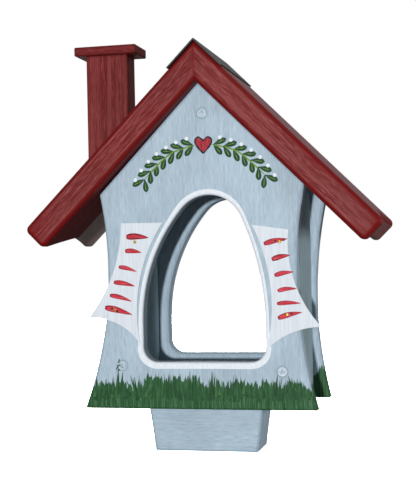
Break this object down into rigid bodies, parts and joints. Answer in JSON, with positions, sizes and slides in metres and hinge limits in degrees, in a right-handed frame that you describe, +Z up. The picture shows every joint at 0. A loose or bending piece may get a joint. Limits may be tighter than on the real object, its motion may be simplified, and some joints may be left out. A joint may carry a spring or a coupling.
{
  "type": "birdhouse",
  "caption": "Painted wooden bird feeder house with an open arched front and back, a plank roof with a ridge strip, a chimney, sheet curtains and a tapered base block.",
  "frame": {"origin": "on the ground under the middle of the roof, level with the underside of the base block", "axes": "+Z up; the decorated front faces -Y; the chimney is on the -X slope of the roof"},
  "size_m": [0.3582, 0.15, 0.4223],
  "materials": {
    "blue_painted_wood": "brushed blue-grey paint over visible grain",
    "red_painted_wood": "brushed dark red paint over visible grain",
    "ridge_sheet": "matte black flexible strip",
    "painted_sheet": "white painted sheet with red brush strokes",
    "painted_screws": "steel screws painted over",
    "steel": "dull zinc-plated steel",
    "brass_pins": "dull aged brass"
  },
  "bodies": {
    "root": {"front_panel": "blue_painted_wood", "rear_panel": "blue_painted_wood", "left_wall": "blue_painted_wood", "right_wall": "blue_painted_wood", "floor_board": "blue_painted_wood", "ridge_batten": "blue_painted_wood", "base_block": "blue_painted_wood", "left_front_roof_plank": "red_painted_wood", "left_rear_roof_plank": "red_painted_wood", "right_front_roof_plank": "red_painted_wood", "right_rear_roof_plank": "red_painted_wood", "chimney_shaft": "red_painted_wood", "chimney_cap": "red_painted_wood", "ridge_strip": "ridge_sheet", "left_curtain": "painted_sheet", "right_curtain": "painted_sheet", "front_panel_screws": "painted_screws", "rear_panel_screws": "painted_screws", "roof_nails": "steel", "ridge_strip_nails": "steel", "chimney_screws": "steel", "cap_nails": "steel", "floor_nails": "steel", "block_screws": "steel", "curtain_pins": "brass_pins"}
  },
  "joints": []
}
